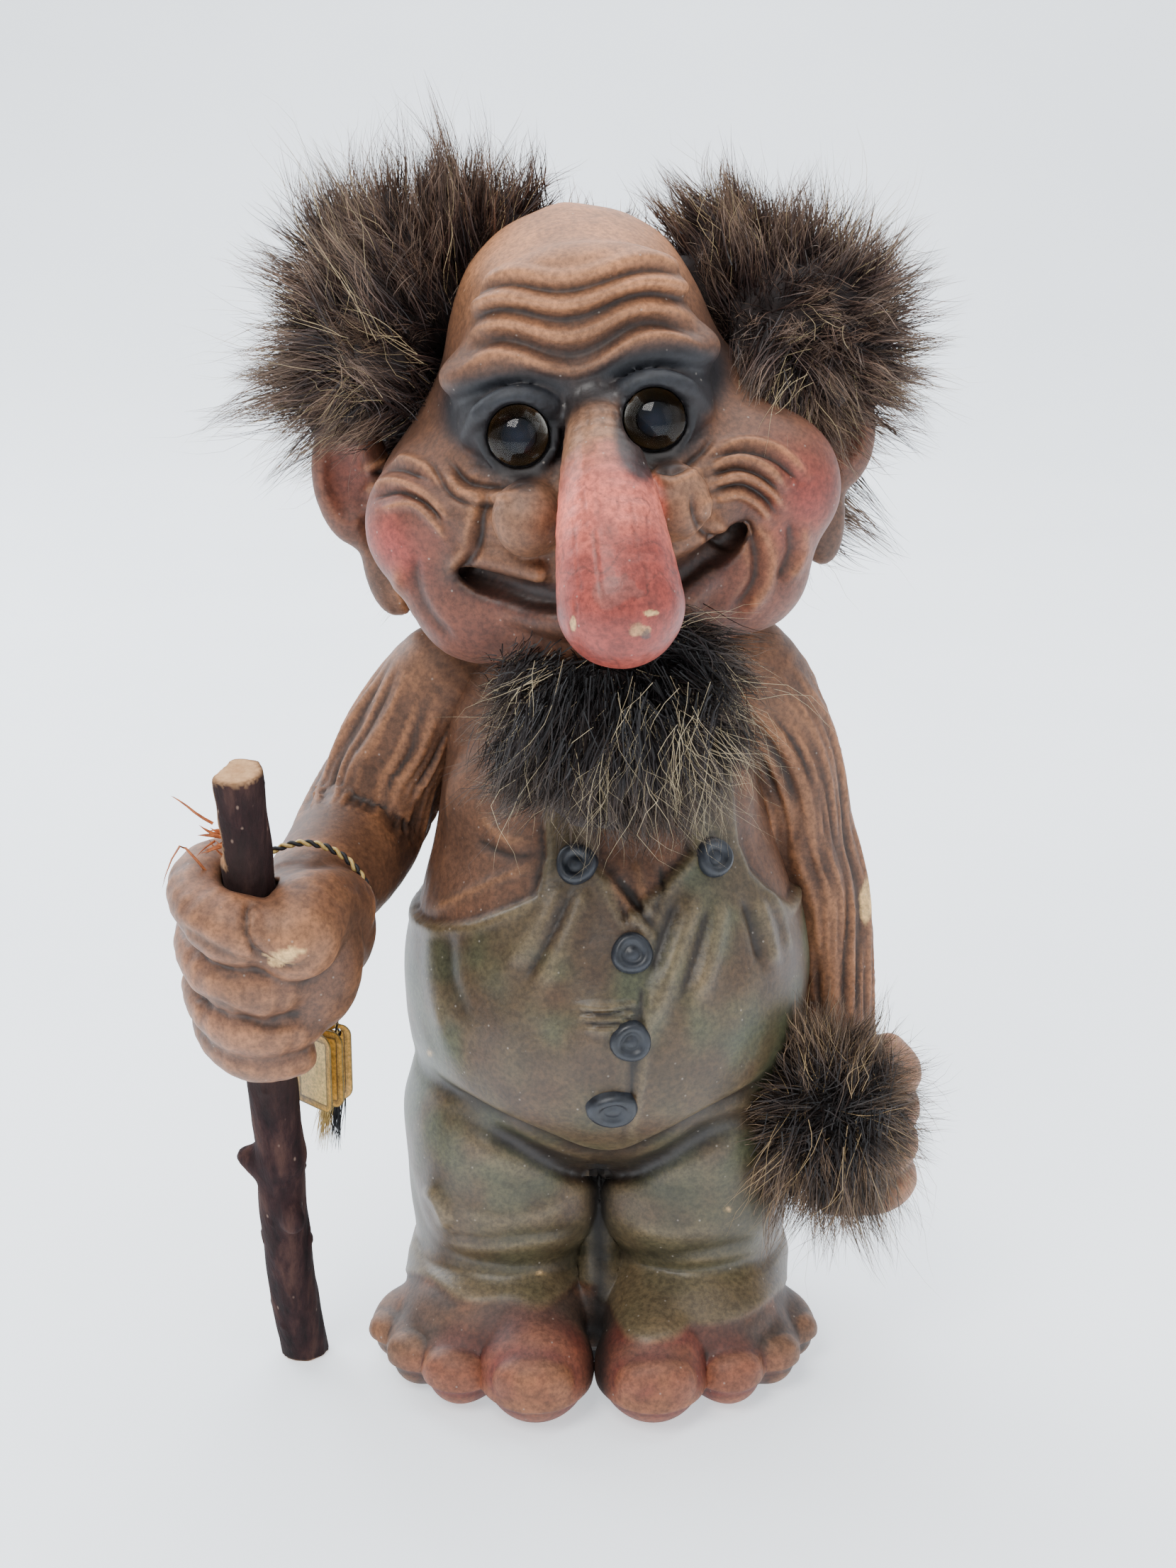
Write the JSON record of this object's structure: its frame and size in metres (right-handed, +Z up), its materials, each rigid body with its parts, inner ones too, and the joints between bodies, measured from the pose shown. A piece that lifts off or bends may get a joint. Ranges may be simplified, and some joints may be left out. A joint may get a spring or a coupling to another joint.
{
  "type": "norwegian troll figure",
  "caption": "Standing folk figure of a long-nosed troll in bib overalls, with glass-like eyes, glued fur, a twig staff through the fist and a folded tag on a cord.",
  "frame": {"origin": "on the floor under the sole, midway between the feet", "axes": "+Z up to the head; the figure looks along -Y; +X is towards its left hand"},
  "size_m": [0.1513, 0.1305, 0.263],
  "materials": {
    "painted_overalls": "satin, hand painted olive overalls with brown folds, tan feet and coral toes",
    "painted_skin": "matte to satin, hand painted tan brown with a rosy nose and cheeks",
    "plug": "matte",
    "eye": "gloss",
    "lens": "clear gloss",
    "fur": "grey brown fur with pale tips",
    "dark_fur": "near black fur with pale guard hairs",
    "bark": "dark bark, pale where it is cut and peeled",
    "cord": "twisted gold and black",
    "black_cord": "matte black",
    "gold_card": "pale gold with dark edges"
  },
  "bodies": {
    "figure": {"body_casting": "painted_overalls", "base_plug": "plug", "head_casting": "painted_skin", "right_arm_casting": "painted_skin", "left_arm_casting": "painted_skin", "tail": "painted_skin", "right_eye_back": "eye", "right_eye_lens": "lens", "left_eye_back": "eye", "left_eye_lens": "lens", "right_hair": "fur", "left_hair": "fur", "back_hair": "fur", "beard": "dark_fur", "tail_tuft": "dark_fur", "tag_cord": "cord", "cord_knot": "cord"},
    "staff": {"staff": "bark"},
    "tag": {"cord_drop": "black_cord", "cord_ends": "cord", "tag_back_cover": "gold_card"},
    "tag_leaf": {"tag_inner_leaf": "gold_card"},
    "tag_front": {"tag_front_cover": "gold_card"}
  },
  "joints": [
    {"name": "staff_slide", "type": "slide", "parent": "figure", "child": "staff", "axis": [-0.0268, -0.2359, 0.9714], "range_m": [0, 0.024]},
    {"name": "tag_swing", "type": "hinge", "parent": "figure", "child": "tag", "pos_m": [-0.0566, -0.0304, 0.0903], "axis": [-0.0698, -0.9976, 0], "range_deg": [-6, 20]},
    {"name": "leaf_fold", "type": "hinge", "parent": "tag", "child": "tag_leaf", "pos_m": [-0.0628, -0.026, 0.0635], "axis": [0, 0, 1], "range_deg": [-3, 8]},
    {"name": "cover_fold", "type": "hinge", "parent": "tag", "child": "tag_front", "pos_m": [-0.0628, -0.026, 0.0635], "axis": [0, 0, 1], "range_deg": [-6, 2.5]}
  ]
}
